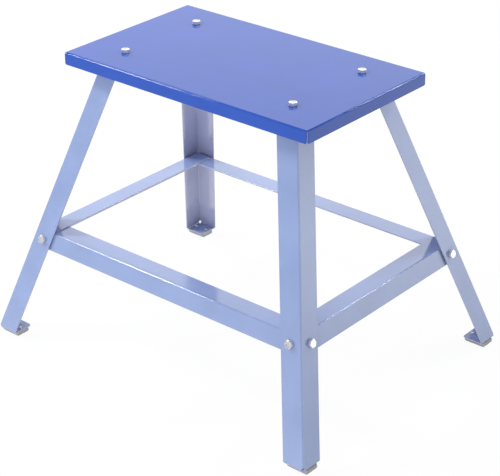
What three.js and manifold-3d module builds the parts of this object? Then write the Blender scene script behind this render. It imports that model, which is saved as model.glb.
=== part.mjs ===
// Bench grinder stand: a folded sheet-steel top on four splayed angle legs, tied by four angle stretchers.
// Millimetres, +Z up, floor at z = 0. The long side of the top runs along X and the front is at -Y.

import * as THREE from 'three';
import { mergeVertices } from 'three/addons/utils/BufferGeometryUtils.js';
import Module from 'manifold-3d';

const wasm = await Module();
wasm.setup();

// Top: one sheet with its four edges folded down, open at the corners.
const STAND_HEIGHT = 509.5;
const TOP_LENGTH = 510;
const TOP_WIDTH = 300;
const TOP_LIP = 21;
const TOP_SHEET = 2;
const TOP_INNER_BEND = 1.5;
const TOP_CORNER_SLIT = 0.4;
const LIP_CORNER = 3;

// Legs: angle section, folded at the outer corner, with a level tab turned in at each end.
const LEG_SHEET = 2;
const LEG_INNER_BEND = 1;
const LEG_LONG_FACE = 41;
const LEG_SHORT_FACE = 39.5;
const LEG_INSET_X = 52.75;
const LEG_INSET_Y = 41.5;
const LEG_SPLAY_X = 141.6;
const LEG_SPLAY_Y = 155.5;
const TAB_CORNER = 5;
const TAB_SLIT = 0.8;
const RELIEF_RADIUS = 3;

// Stretchers: angle section with the shelf on top. The short pair's shelves lie over the long pair's.
const STRETCHER_SHEET = 2;
const STRETCHER_INNER_BEND = 1.5;
const STRETCHER_BOTTOM = 167.7;
const STRETCHER_DROP = 29;
const LONG_SHELF = 38;
const SHORT_SHELF = 36;
const SHELF_CORNER = 4;
const STRETCHER_END_GAP = 2.5;

// Bolted joints: hex bolt outside, washer and nut inside.
const BOLT_DIAMETER = 8;
const HEX_FLATS = 13;
const HEAD_HEIGHT = 5.3;
const HEX_CHAMFER = 0.7;
const NUT_HEIGHT = 6.5;
const WASHER_DIAMETER = 16;
const WASHER_THICKNESS = 1.6;
const BOLT_TAIL = 3;
const BOLT_HOLE_PLAY = 1;
const THREAD_PLAY = 0.4;
const WASHER_PLAY = 0.6;
// Bolts sit this far past the middle of their leg's face, away from its fold.
const TOP_BOLT_OFFSET_X = 5.7;
const TOP_BOLT_OFFSET_Y = 2.55;
const LONG_BOLT_OFFSET = 1.8;
const SHORT_BOLT_OFFSET = 2.55;
const LEG_BOLT_RAISE = 1.5;

// Feet: a rubber block under each foot tab, held by two dome-head rivets.
const PAD_HEIGHT = 8;
const PAD_END_MARGIN = 0.5;
const PAD_SIDE_MARGIN = 6.5;
// The block sits this far past the middle of its tab, away from the fold.
const PAD_SHIFT = 1.5;
const PAD_CORNER = 2;
const PAD_EDGE = 1;
const RIVET_END_DISTANCE = 8;
const RIVET_DIAMETER = 4;
const RIVET_HEAD_DIAMETER = 6.4;
const RIVET_HEAD_HEIGHT = 1.7;
const RIVET_DEPTH = 6;
const RIVET_PLAY = 0.4;

// Faces that touch are drawn this far apart.
const SEAT = 0.2;
// Cutting tools reach this far past what they cut.
const OVERCUT = 5;
const ARC_STEPS = 3;
const ROUND_SIDES = 16;
const SMALL_SIDES = 12;

const plateUnderside = STAND_HEIGHT - TOP_SHEET;
const legHeight = plateUnderside - SEAT - PAD_HEIGHT - SEAT;
const footZ = PAD_HEIGHT + SEAT;
const slopeX = LEG_SPLAY_X / legHeight;
const slopeY = LEG_SPLAY_Y / legHeight;
const footX = TOP_LENGTH / 2 - LEG_INSET_X + LEG_SPLAY_X;
const footY = TOP_WIDTH / 2 - LEG_INSET_Y + LEG_SPLAY_Y;
const boltHole = BOLT_DIAMETER + BOLT_HOLE_PLAY;
// Heights on the legs are taken from the foot tabs' undersides.
const webBottom = STRETCHER_BOTTOM - footZ;
const longShelfTop = webBottom + STRETCHER_DROP;
const shortShelfTop = longShelfTop + SEAT + STRETCHER_SHEET;
const legBoltHeight = webBottom + STRETCHER_DROP / 2 + LEG_BOLT_RAISE;
const longBoltInset = LEG_LONG_FACE / 2 + LONG_BOLT_OFFSET;
const shortBoltInset = LEG_SHORT_FACE / 2 + SHORT_BOLT_OFFSET;

const paintedTop = new THREE.MeshStandardMaterial({ color: '#2f4fb0', roughness: 0.25, metalness: 0 });
const paintedFrame = new THREE.MeshStandardMaterial({ color: '#9fade0', roughness: 0.35, metalness: 0 });
const zinc = new THREE.MeshStandardMaterial({ color: '#dfe1e4', roughness: 0.3, metalness: 1 });
const rubber = new THREE.MeshStandardMaterial({ color: '#9a9693', roughness: 0.8, metalness: 0 });

// Turns a closed geometry into a solid that can be joined and cut.
function solid(geometry) {
  const bare = geometry.clone();
  bare.deleteAttribute('normal');
  bare.deleteAttribute('uv');
  const welded = mergeVertices(bare);
  return new wasm.Manifold(new wasm.Mesh({
    numProp: 3,
    vertProperties: new Float32Array(welded.attributes.position.array),
    triVerts: new Uint32Array(welded.index.array),
  }));
}

// Turns a solid back into a geometry.
function geometryOf(body) {
  const mesh = body.getMesh();
  const geometry = new THREE.BufferGeometry();
  geometry.setAttribute('position', new THREE.BufferAttribute(new Float32Array(mesh.vertProperties), 3));
  geometry.setIndex(new THREE.BufferAttribute(new Uint32Array(mesh.triVerts), 1));
  geometry.computeVertexNormals();
  return geometry;
}

// The mirror image in the YZ plane, with its faces still pointing out.
function mirrored(geometry) {
  const copy = geometry.clone().scale(-1, 1, 1);
  const index = copy.index.array;
  for (let i = 0; i < index.length; i += 3) {
    [index[i], index[i + 1]] = [index[i + 1], index[i]];
  }
  copy.computeVertexNormals();
  return copy;
}

// A closed outline through corners given as [x, y, radius], each rounded by its radius.
function outline(corners) {
  const shape = new THREE.Shape();
  corners.forEach(([x, y, radius], i) => {
    const here = new THREE.Vector2(x, y);
    if (radius === 0) {
      if (i === 0) shape.moveTo(x, y);
      else shape.lineTo(x, y);
      return;
    }
    const [backX, backY] = corners.at(i - 1);
    const [aheadX, aheadY] = corners[(i + 1) % corners.length];
    const back = new THREE.Vector2(backX, backY).sub(here).normalize();
    const ahead = new THREE.Vector2(aheadX, aheadY).sub(here).normalize();
    const halfAngle = Math.acos(back.dot(ahead)) / 2;
    const reach = radius / Math.tan(halfAngle);
    const toCentre = back.clone().add(ahead).normalize();
    const centre = here.clone().addScaledVector(toCentre, radius / Math.sin(halfAngle));
    const start = here.clone().addScaledVector(back, reach).sub(centre);
    const end = here.clone().addScaledVector(ahead, reach).sub(centre);
    const clockwise = back.cross(ahead) > 0;
    shape.absarc(centre.x, centre.y, radius, start.angle(), end.angle(), clockwise);
  });
  return shape;
}

// The section of a folded sheet, from the path of its outer face. The sheet lies inside every fold:
// side is 1 where that is to the left of the path and -1 where it is to the right.
function foldedSection(path, sheet, innerBend, side) {
  const points = path.map(([x, y]) => new THREE.Vector2(x, y));
  const last = points.length - 1;
  const squareTo = (from, to) => {
    const along = to.clone().sub(from).normalize();
    return new THREE.Vector2(-along.y, along.x).multiplyScalar(side * sheet);
  };
  const outer = [];
  const inner = [];
  points.forEach((point, i) => {
    if (i === 0 || i === last) {
      const offset = i === 0 ? squareTo(point, points[1]) : squareTo(points[last - 1], point);
      const inside = point.clone().add(offset);
      outer.push([point.x, point.y, 0]);
      inner.unshift([inside.x, inside.y, 0]);
      return;
    }
    const back = points[i - 1].clone().sub(point).normalize();
    const ahead = points[i + 1].clone().sub(point).normalize();
    const halfAngle = Math.acos(back.dot(ahead)) / 2;
    const inward = back.add(ahead).normalize();
    const inside = point.clone().addScaledVector(inward, sheet / Math.sin(halfAngle));
    outer.push([point.x, point.y, innerBend + sheet]);
    inner.unshift([inside.x, inside.y, innerBend]);
  });
  return outline([...outer, ...inner]);
}

function extruded(shape, depth) {
  return new THREE.ExtrudeGeometry(shape, { depth, bevelEnabled: false, curveSegments: ARC_STEPS });
}

// Extrudes a shape drawn in (y, z) along X, from x = from.
function alongX(shape, from, length) {
  const turn = new THREE.Matrix4().makeBasis(
    new THREE.Vector3(0, 1, 0), new THREE.Vector3(0, 0, 1), new THREE.Vector3(1, 0, 0));
  return extruded(shape, length).applyMatrix4(turn).translate(from, 0, 0);
}

// Extrudes a shape drawn in (x, z) along Y, from y = from.
function alongY(shape, from, length) {
  const turn = new THREE.Matrix4().makeBasis(
    new THREE.Vector3(1, 0, 0), new THREE.Vector3(0, 0, 1), new THREE.Vector3(0, -1, 0));
  return extruded(shape, length).applyMatrix4(turn).translate(0, from + length, 0);
}

// Extrudes a shape drawn in (x, y) up from z = from.
function alongZ(shape, from, length) {
  return extruded(shape, length).translate(0, 0, from);
}

// Leans a geometry over, by so much X and Y for each unit of height.
function leaned(geometry, byX, byY) {
  return geometry.applyMatrix4(new THREE.Matrix4().makeShear(0, 0, 0, 0, byX, byY));
}

// A round bar along a direction, centred on a point, for cutting holes.
function holeCutter(diameter, point, direction, length) {
  const bar = new THREE.CylinderGeometry(diameter / 2, diameter / 2, length, ROUND_SIDES);
  const turn = new THREE.Quaternion().setFromUnitVectors(new THREE.Vector3(0, 1, 0), direction);
  return solid(bar.applyQuaternion(turn).translate(point.x, point.y, point.z));
}

// How much longer a sloping sheet's thickness is when measured level.
function level(thickness, slope) {
  return thickness * Math.hypot(1, slope);
}

// Leg faces, seen from the leg's own corner: +X and +Y point in under the stand.
const foldAtBolts = new THREE.Vector3(slopeX, slopeY, 1).multiplyScalar(legBoltHeight);
const longFace = {
  along: new THREE.Vector3(1, 0, 0),
  outward: new THREE.Vector3(0, -1, slopeY).normalize(),
  boltPoint: foldAtBolts.clone().setX(foldAtBolts.x + longBoltInset),
};
const shortFace = {
  along: new THREE.Vector3(0, 1, 0),
  outward: new THREE.Vector3(-1, 0, slopeX).normalize(),
  boltPoint: foldAtBolts.clone().setY(foldAtBolts.y + shortBoltInset),
};
const topTab = {
  along: new THREE.Vector3(1, 0, 0),
  outward: new THREE.Vector3(0, 0, 1),
  boltPoint: new THREE.Vector3(
    LEG_SPLAY_X + LEG_LONG_FACE / 2 + TOP_BOLT_OFFSET_X,
    LEG_SPLAY_Y + LEG_SHORT_FACE / 2 + TOP_BOLT_OFFSET_Y,
    legHeight,
  ),
};
const tabCentre = new THREE.Vector2(LEG_LONG_FACE / 2, LEG_SHORT_FACE / 2);
const padLength = LEG_LONG_FACE - 2 * PAD_END_MARGIN;
const padWidth = LEG_SHORT_FACE - 2 * PAD_SIDE_MARGIN;
const rivetOffset = padLength / 2 - RIVET_END_DISTANCE;

// Top: the plate with its long lips, joined to the plate with its short lips.
function makeTop() {
  const cutBack = TOP_SHEET + TOP_CORNER_SLIT;
  const lipPath = (width) => [
    [-width / 2, -TOP_LIP], [-width / 2, 0], [width / 2, 0], [width / 2, -TOP_LIP],
  ];
  const lipFront = (length) => outline([
    [-length / 2, -TOP_LIP, LIP_CORNER], [length / 2, -TOP_LIP, LIP_CORNER],
    [length / 2, OVERCUT, 0], [-length / 2, OVERCUT, 0],
  ]);
  const lipLength = TOP_LENGTH - 2 * cutBack;
  const lipWidth = TOP_WIDTH - 2 * cutBack;
  const acrossSection = foldedSection(lipPath(TOP_WIDTH), TOP_SHEET, TOP_INNER_BEND, -1);
  const alongSection = foldedSection(lipPath(TOP_LENGTH), TOP_SHEET, TOP_INNER_BEND, -1);
  const longLips = solid(alongX(acrossSection, -lipLength / 2, lipLength))
    .intersect(solid(alongY(lipFront(lipLength), -TOP_WIDTH, 2 * TOP_WIDTH)));
  const shortLips = solid(alongY(alongSection, -lipWidth / 2, lipWidth))
    .intersect(solid(alongX(lipFront(lipWidth), -TOP_LENGTH, 2 * TOP_LENGTH)));
  let body = longLips.add(shortLips);
  const boltX = footX - topTab.boltPoint.x;
  const boltY = footY - topTab.boltPoint.y;
  for (const sideX of [-1, 1]) {
    for (const sideY of [-1, 1]) {
      const point = new THREE.Vector3(sideX * boltX, sideY * boltY, 0);
      body = body.subtract(holeCutter(boltHole, point, topTab.outward, 2 * OVERCUT));
    }
  }
  return geometryOf(body);
}

// Leg: the long face carries the tab at each end, and the short face is folded back from it.
function makeLeg() {
  const tabDepth = LEG_SHORT_FACE;
  const tabPath = [
    [tabDepth, 0], [0, 0], [LEG_SPLAY_Y, legHeight], [LEG_SPLAY_Y + tabDepth, legHeight],
  ];
  const longSection = foldedSection(tabPath, LEG_SHEET, LEG_INNER_BEND, -1);
  const shortThickness = level(LEG_SHEET, slopeX);
  const shortSection = outline([
    [0, 0, 0], [shortThickness, 0, 0],
    [shortThickness + LEG_SPLAY_X, legHeight, 0], [LEG_SPLAY_X, legHeight, 0],
  ]);
  const long = solid(leaned(alongX(longSection, 0, LEG_LONG_FACE), slopeX, 0));
  const short = solid(leaned(alongY(shortSection, 0, LEG_SHORT_FACE), 0, slopeY));

  // The fold down the corner and the free corners of the tabs are rounded in plan.
  const plan = outline([
    [0, 0, LEG_INNER_BEND + LEG_SHEET], [LEG_LONG_FACE, 0, 0],
    [LEG_LONG_FACE, LEG_SHORT_FACE, TAB_CORNER], [0, LEG_SHORT_FACE, 0],
  ]);
  const column = solid(leaned(alongZ(plan, 0, legHeight), slopeX, slopeY));
  let body = long.add(short).intersect(column);

  // The short face stops level with the inside of each tab. A slit parts the two, and a round relief
  // opens the corner where the folds meet.
  for (const end of [0, 1]) {
    const x = end * LEG_SPLAY_X + shortThickness;
    const y = end * LEG_SPLAY_Y;
    const z = end * (legHeight - LEG_SHEET);
    const cut = shortThickness + TAB_SLIT + OVERCUT;
    const trim = new THREE.BoxGeometry(cut, LEG_SHORT_FACE + 2 * OVERCUT, LEG_SHEET + 2 * SEAT)
      .translate(x + TAB_SLIT - cut / 2, y + LEG_SHORT_FACE / 2, z + LEG_SHEET / 2);
    const relief = new THREE.SphereGeometry(RELIEF_RADIUS, SMALL_SIDES, SMALL_SIDES / 2)
      .translate(x, y + LEG_SHEET, z + LEG_SHEET / 2);
    body = body.subtract(solid(trim)).subtract(solid(relief));
  }

  // Bolt holes through both faces and the top tab, and rivet holes through the foot tab.
  for (const { boltPoint, outward } of [longFace, shortFace, topTab]) {
    body = body.subtract(holeCutter(boltHole, boltPoint, outward, 2 * OVERCUT));
  }
  const up = new THREE.Vector3(0, 0, 1);
  for (const end of [-1, 1]) {
    const point = new THREE.Vector3(tabCentre.x + end * rivetOffset, tabCentre.y, 0);
    body = body.subtract(holeCutter(RIVET_DIAMETER + RIVET_PLAY, point, up, 2 * OVERCUT));
  }
  return geometryOf(body);
}

// Stretcher along X with its shelf towards +Y, drawn from the line that the outer faces of its two legs
// meet at the foot tabs.
function makeStretcher({ slope, endSlope, footHalf, shelfTop, shelf, boltInset }) {
  const face = level(LEG_SHEET + SEAT, slope);
  const path = [
    [slope * webBottom + face, webBottom],
    [slope * shelfTop + face, shelfTop],
    [slope * shelfTop + face + shelf, shelfTop],
  ];
  const section = foldedSection(path, STRETCHER_SHEET, STRETCHER_INNER_BEND, -1);
  const endInset = level(LEG_SHEET + SEAT + STRETCHER_SHEET, endSlope) + STRETCHER_END_GAP;
  const half = footHalf - endSlope * shelfTop - endInset;
  let body = solid(alongX(section, -half, 2 * half));

  // The free corners of the web and of the shelf are rounded.
  const webFront = outline([
    [-half, webBottom, SHELF_CORNER], [half, webBottom, SHELF_CORNER],
    [half, shelfTop + OVERCUT, 0], [-half, shelfTop + OVERCUT, 0],
  ]);
  const shelfEdge = slope * shelfTop + face + shelf;
  const shelfPlan = outline([
    [-half, 0, 0], [half, 0, 0], [half, shelfEdge, SHELF_CORNER], [-half, shelfEdge, SHELF_CORNER],
  ]);
  body = body.intersect(solid(alongY(webFront, 0, shelfEdge)));
  body = body.intersect(solid(alongZ(shelfPlan, 0, shelfTop + OVERCUT)));

  const outward = new THREE.Vector3(0, -1, slope).normalize();
  const boltX = footHalf - endSlope * legBoltHeight - boltInset;
  for (const end of [-1, 1]) {
    const point = new THREE.Vector3(end * boltX, slope * legBoltHeight, legBoltHeight);
    body = body.subtract(holeCutter(boltHole, point, outward, 4 * OVERCUT));
  }
  return geometryOf(body);
}

// A hex prism up from z = 0, with its upper corners chamfered off and a flat side towards +Y.
function hexPrism(height) {
  const corner = HEX_FLATS / Math.sqrt(3);
  const profile = [
    [0, 0], [corner, 0], [corner, height - HEX_CHAMFER], [corner - HEX_CHAMFER, height], [0, height],
  ];
  const points = profile.map(([radius, z]) => new THREE.Vector2(radius, z));
  return new THREE.LatheGeometry(points, 6, Math.PI / 6).rotateX(Math.PI / 2);
}

function roundBar(diameter, from, to) {
  return new THREE.CylinderGeometry(diameter / 2, diameter / 2, to - from, ROUND_SIDES)
    .rotateX(Math.PI / 2).translate(0, 0, (from + to) / 2);
}

// Bolt with its head's seat at z = 0 and its shank pointing down.
function makeBolt(length) {
  const shank = roundBar(BOLT_DIAMETER, -length, HEAD_HEIGHT / 2);
  return geometryOf(solid(hexPrism(HEAD_HEIGHT)).add(solid(shank)));
}

// Nut with its seat at z = 0, hanging down.
function makeNut() {
  const body = solid(hexPrism(NUT_HEIGHT).rotateX(Math.PI));
  const bore = roundBar(BOLT_DIAMETER + THREAD_PLAY, -NUT_HEIGHT - OVERCUT, OVERCUT);
  return geometryOf(body.subtract(solid(bore)));
}

function makeWasher() {
  const body = solid(roundBar(WASHER_DIAMETER, -WASHER_THICKNESS, 0));
  const bore = roundBar(BOLT_DIAMETER + WASHER_PLAY, -WASHER_THICKNESS - OVERCUT, OVERCUT);
  return geometryOf(body.subtract(solid(bore)));
}

// Rubber block with blind holes for its rivets, its lower edge eased.
function makePad() {
  const plan = (trim) => {
    const x = padLength / 2 - trim;
    const y = padWidth / 2 - trim;
    return outline([[-x, -y, PAD_CORNER], [x, -y, PAD_CORNER], [x, y, PAD_CORNER], [-x, y, PAD_CORNER]]);
  };
  const block = solid(alongZ(plan(0), PAD_EDGE, PAD_HEIGHT - PAD_EDGE));
  let body = block.add(solid(alongZ(plan(PAD_EDGE), 0, PAD_HEIGHT)));
  const holeBottom = PAD_HEIGHT - RIVET_DEPTH - RIVET_PLAY;
  for (const end of [-1, 1]) {
    const bar = roundBar(RIVET_DIAMETER + RIVET_PLAY, holeBottom, PAD_HEIGHT + OVERCUT);
    body = body.subtract(solid(bar.translate(end * rivetOffset, -PAD_SHIFT, 0)));
  }
  return geometryOf(body);
}

// Rivet with its dome's seat at z = 0 and its shank down through the tab into the rubber.
function makeRivet() {
  const domeRadius = (RIVET_HEAD_DIAMETER ** 2 / 4 + RIVET_HEAD_HEIGHT ** 2) / (2 * RIVET_HEAD_HEIGHT);
  const rim = Math.asin(RIVET_HEAD_DIAMETER / 2 / domeRadius);
  const shank = RIVET_DEPTH + SEAT + LEG_SHEET + SEAT;
  const points = [
    new THREE.Vector2(0, -shank),
    new THREE.Vector2(RIVET_DIAMETER / 2, -shank),
    new THREE.Vector2(RIVET_DIAMETER / 2, 0),
  ];
  for (let i = 0; i <= ARC_STEPS; i += 1) {
    const angle = rim * (1 - i / ARC_STEPS);
    const height = domeRadius * Math.cos(angle) - (domeRadius - RIVET_HEAD_HEIGHT);
    points.push(new THREE.Vector2(domeRadius * Math.sin(angle), height));
  }
  return new THREE.LatheGeometry(points, SMALL_SIDES).rotateX(Math.PI / 2);
}

function named(name, geometry, material) {
  const mesh = new THREE.Mesh(geometry, material);
  mesh.name = name;
  return mesh;
}

// A bolt, washer and nut clamping two sheets, with the bolt's head towards the group's +Z.
function makeJoint(prefix, corner, outerSheet, innerSheet) {
  const grip = outerSheet + SEAT + innerSheet;
  const washerSeat = grip + SEAT;
  const nutSeat = washerSeat + WASHER_THICKNESS + SEAT;
  const bolt = named(`${prefix}_bolt_${corner}`, makeBolt(nutSeat + NUT_HEIGHT + BOLT_TAIL + SEAT), zinc);
  const washer = named(`${prefix}_washer_${corner}`, makeWasher(), zinc);
  const nut = named(`${prefix}_nut_${corner}`, makeNut(), zinc);
  bolt.position.z = SEAT;
  washer.position.z = -washerSeat;
  nut.position.z = -nutSeat;
  return new THREE.Group().add(bolt, washer, nut);
}

const leg = makeLeg();
const pad = makePad();
const rivet = makeRivet();

// One corner of the stand: a leg with its foot and its bolted joints. Opposite corners are the same
// hand of leg turned half round.
function makeCorner({ name, sideX, sideY }) {
  const hand = -sideX * Math.sign(-sideY);
  const corner = new THREE.Group();
  corner.position.set(sideX * footX, sideY * footY, footZ);
  corner.rotation.z = sideY > 0 ? Math.PI : 0;
  corner.add(named(`leg_${name}`, hand > 0 ? leg : mirrored(leg), paintedFrame));

  const block = named(`foot_pad_${name}`, pad, rubber);
  block.position.set(hand * tabCentre.x, tabCentre.y + PAD_SHIFT, -footZ);
  corner.add(block);
  for (const [place, end] of [['outer', -1], ['inner', 1]]) {
    const pin = named(`foot_rivet_${place}_${name}`, rivet, zinc);
    pin.position.set(hand * (tabCentre.x + end * rivetOffset), tabCentre.y, LEG_SHEET + SEAT);
    corner.add(pin);
  }

  const joints = [
    { prefix: 'long', face: longFace, sheets: [LEG_SHEET, STRETCHER_SHEET], rise: 0 },
    { prefix: 'short', face: shortFace, sheets: [LEG_SHEET, STRETCHER_SHEET], rise: 0 },
    { prefix: 'top', face: topTab, sheets: [TOP_SHEET, LEG_SHEET], rise: SEAT + TOP_SHEET },
  ];
  for (const { prefix, face, sheets, rise } of joints) {
    const joint = makeJoint(prefix, name, ...sheets);
    const { x, y, z } = face.boltPoint;
    const facing = face.outward.clone().setX(hand * face.outward.x);
    const across = facing.clone().cross(face.along);
    joint.position.set(hand * x, y, z + rise);
    joint.setRotationFromMatrix(new THREE.Matrix4().makeBasis(face.along, across, facing));
    corner.add(joint);
  }
  return corner;
}

const longStretcher = makeStretcher({
  slope: slopeY,
  endSlope: slopeX,
  footHalf: footX,
  shelfTop: longShelfTop,
  shelf: LONG_SHELF,
  boltInset: longBoltInset,
});
const shortStretcher = makeStretcher({
  slope: slopeX,
  endSlope: slopeY,
  footHalf: footY,
  shelfTop: shortShelfTop,
  shelf: SHORT_SHELF,
  boltInset: shortBoltInset,
});

// The four stretchers, each turned so that its shelf points in under the stand.
function makeStretchers() {
  const sides = [
    { name: 'front', geometry: longStretcher, x: 0, y: -footY, turn: 0 },
    { name: 'right', geometry: shortStretcher, x: footX, y: 0, turn: Math.PI / 2 },
    { name: 'rear', geometry: longStretcher, x: 0, y: footY, turn: Math.PI },
    { name: 'left', geometry: shortStretcher, x: -footX, y: 0, turn: -Math.PI / 2 },
  ];
  return sides.map(({ name, geometry, x, y, turn }) => {
    const bar = named(`stretcher_${name}`, geometry, paintedFrame);
    bar.position.set(x, y, footZ);
    bar.rotation.z = turn;
    return bar;
  });
}

const stand = new THREE.Group();
stand.name = 'bench_grinder_stand';

const top = named('top_plate', makeTop(), paintedTop);
top.position.z = STAND_HEIGHT;
stand.add(top);

const corners = [
  { name: 'front_left', sideX: -1, sideY: -1 },
  { name: 'front_right', sideX: 1, sideY: -1 },
  { name: 'rear_right', sideX: 1, sideY: 1 },
  { name: 'rear_left', sideX: -1, sideY: 1 },
];
for (const corner of corners) stand.add(makeCorner(corner));
stand.add(...makeStretchers());

export default stand;
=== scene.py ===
"""Bench grinder stand: folded and painted sheets, zinc fasteners and rubber feet.

Every piece is worked out from the frame's own boxes, in metres, in the frame's own axes.
"""

import math

import bmesh
import bpy
from mathutils import Matrix, Vector
from mathutils.geometry import delaunay_2d_cdt


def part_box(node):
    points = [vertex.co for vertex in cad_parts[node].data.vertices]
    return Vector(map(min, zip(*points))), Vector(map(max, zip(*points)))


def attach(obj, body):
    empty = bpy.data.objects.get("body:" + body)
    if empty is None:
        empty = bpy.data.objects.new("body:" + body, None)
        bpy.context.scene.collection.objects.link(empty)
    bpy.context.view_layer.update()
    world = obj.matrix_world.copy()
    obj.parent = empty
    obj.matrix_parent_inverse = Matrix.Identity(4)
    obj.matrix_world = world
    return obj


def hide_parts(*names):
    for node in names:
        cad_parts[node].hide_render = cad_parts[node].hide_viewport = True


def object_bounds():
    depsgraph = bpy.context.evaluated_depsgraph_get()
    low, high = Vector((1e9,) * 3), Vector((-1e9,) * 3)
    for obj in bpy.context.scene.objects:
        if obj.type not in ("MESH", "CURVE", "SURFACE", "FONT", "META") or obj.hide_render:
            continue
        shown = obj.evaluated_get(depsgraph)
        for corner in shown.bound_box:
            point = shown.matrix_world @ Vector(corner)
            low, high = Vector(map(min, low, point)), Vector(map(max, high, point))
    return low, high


bl_info = {
    "name": "Bench Grinder Stand",
    "version": (1, 0, 0),
    "blender": (4, 5, 0),
    "location": "View3D > Sidebar > Stand",
    "description": "Folds, bolts and paints a bench grinder stand, and sets it in a white studio",
    "category": "Object",
}

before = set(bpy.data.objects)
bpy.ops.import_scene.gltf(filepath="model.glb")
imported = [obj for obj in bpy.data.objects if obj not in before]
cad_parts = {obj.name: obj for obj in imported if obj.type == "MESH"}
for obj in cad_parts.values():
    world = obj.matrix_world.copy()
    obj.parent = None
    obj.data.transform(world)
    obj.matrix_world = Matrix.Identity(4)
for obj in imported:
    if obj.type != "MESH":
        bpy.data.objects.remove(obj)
CAD_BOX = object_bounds()

MM = 0.001
BODY = "root"
X = Vector((1, 0, 0))
Y = Vector((0, 1, 0))
Z = Vector((0, 0, 1))

# Each corner's side of the stand along X and along Y.
CORNERS = {
    "front_left": (-1, -1),
    "front_right": (1, -1),
    "rear_right": (1, 1),
    "rear_left": (-1, 1),
}
# Each stretcher's outward direction and the kind of joint at its ends.
STRETCHERS = {
    "front": (-Y, "long"),
    "right": (X, "short"),
    "rear": (Y, "long"),
    "left": (-X, "short"),
}
# The hex heads on the top are turned by this much.
TOP_TURN = math.radians(10.75)
# The way that a hex corner points in each kind of joint.
JOINTS = {
    "long": X,
    "short": Y,
    "top": X * math.cos(TOP_TURN) + Y * math.sin(TOP_TURN),
}
# Each foot's two rivets.
RIVETS = ("outer", "inner")

# Facets of the bends, rounded corners, holes, round parts, threads and rivet heads.
BEND_STEPS = 8
CORNER_STEPS = 6
HOLE_SIDES = 24
ROUND_SIDES = 48
THREAD_STEPS = 8
DOME_STEPS = 8
# Points closer than this are one point, in a mesh and in a flat outline.
WELD = 0.001 * MM
FLAT_WELD = 1e-9
# A sheet turns by more than this at a cut edge, and by less in a bend.
CUT_EDGE_ANGLE = math.radians(50)

# Parts of a bolt head and a nut, as shares of half the width across the flats.
HEAD_CROWN = 0.94
HEAD_FACE = 0.92
NUT_CROWN = 0.95
# Edges of the dish in a bolt head, as shares of its crown.
DISH_FLOOR = 0.55
DISH_RIM = 0.75
# Slope of the chamfers on heads and nuts, and depth of a thread as a share of its pitch.
HEX_SLANT = math.tan(math.radians(30))
THREAD_DEPTH = 0.61

# Noise seldom leaves this range.
NOISE_RANGE = {"From Min": 0.3, "From Max": 0.7}
# A face that looks in at the stand's middle line, where shade falls, is painted paler and greyer as
# # painted light: this begins at the first distance from that line and is whole at the second.
PAINTED_LIGHT_START = 20 * MM
PAINTED_LIGHT_FULL = 80 * MM

# Each lamp's place and width in metres, and whether gloss mirrors it.
LAMPS = {
    "key": ((-1.57, -1.0, 1.9), 0.42, True),
    "rim": ((0.59, 1.31, 1.555), 0.21, True),
    "front": ((0.3, -2.4, 1.2), 1.6, False),
    "side": ((-2.3, 0.3, 1.2), 1.2, False),
    "back": ((0.3, 2.3, 1.3), 1.4, False),
}
CAMERA_PLACE = Vector((1.62515, -1.87012, 1.47682))
SENSOR_WIDTH = 36
# The way to the brightest part of the room.
BACK_OF_ROOM = (0.1, 0.99, 0)
# The paper lies this far below the feet.
FLOOR_GAP = 0.3 * MM


def linear(code):
    """The linear colour of an sRGB hex code."""
    shares = [int(code[i : i + 2], 16) / 255 for i in (1, 3, 5)]
    return [s / 12.92 if s <= 0.04045 else ((s + 0.055) / 1.055) ** 2.4 for s in shares]


def length(name, description, millimetres):
    """A length that the user can set, given in millimetres."""
    return bpy.props.FloatProperty(
        name=name,
        description=description,
        default=millimetres * MM,
        min=0,
        precision=5,
        subtype="DISTANCE",
        unit="LENGTH",
    )


def colour(name, description, code):
    """A colour that the user can set, given as an sRGB hex code."""
    return bpy.props.FloatVectorProperty(
        name=name, description=description, default=linear(code), min=0, max=1, subtype="COLOR"
    )


def number(name, description, default):
    """A plain number that the user can set."""
    return bpy.props.FloatProperty(name=name, description=description, default=default)


def angle(name, description, degrees):
    """An angle that the user can set, given in degrees."""
    return bpy.props.FloatProperty(
        name=name, description=description, default=math.radians(degrees), subtype="ANGLE"
    )


class StandSheets(bpy.types.PropertyGroup):
    """Sizes of the folded sheet-steel pieces"""

    thickness: length("Sheet", "Thickness of every sheet", 2)
    top_bend: length("Top bend", "Outer radius of the folds round the top", 3.5)
    leg_bend: length("Leg bend", "Outer radius of the folds in a leg", 3)
    stretcher_bend: length("Stretcher bend", "Outer radius of the fold in a stretcher", 2.3)
    long_face: length("Long leg face", "Width of a leg on the long side of the stand", 41)
    short_face: length("Short leg face", "Width of a leg on the short side of the stand", 39.5)
    lip_gap: length("Lip gap", "How far each lip stops short of the corner of the top", 2.4)
    lip_corner: length("Lip corner", "Radius of the lower corners of the lips", 3)
    tab_corner: length("Tab corner", "Radius of the free corner of a leg's tabs", 5)
    relief: length("Relief", "Radius of the cut where the folds of a leg meet", 2)
    face_stop: length("Face stop", "How far the short face of a leg stops from its ends", 2.2)
    shelf_corner: length("Shelf corner", "Radius of the free corners of a stretcher", 4)
    cut_edge: length("Cut edge", "Rounding that paint leaves on a cut edge", 0.35)
    bolt_hole: length("Bolt hole", "Diameter of the holes for the bolts", 9)
    rivet_hole: length("Rivet hole", "Diameter of the holes for the foot rivets", 4.4)


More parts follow.
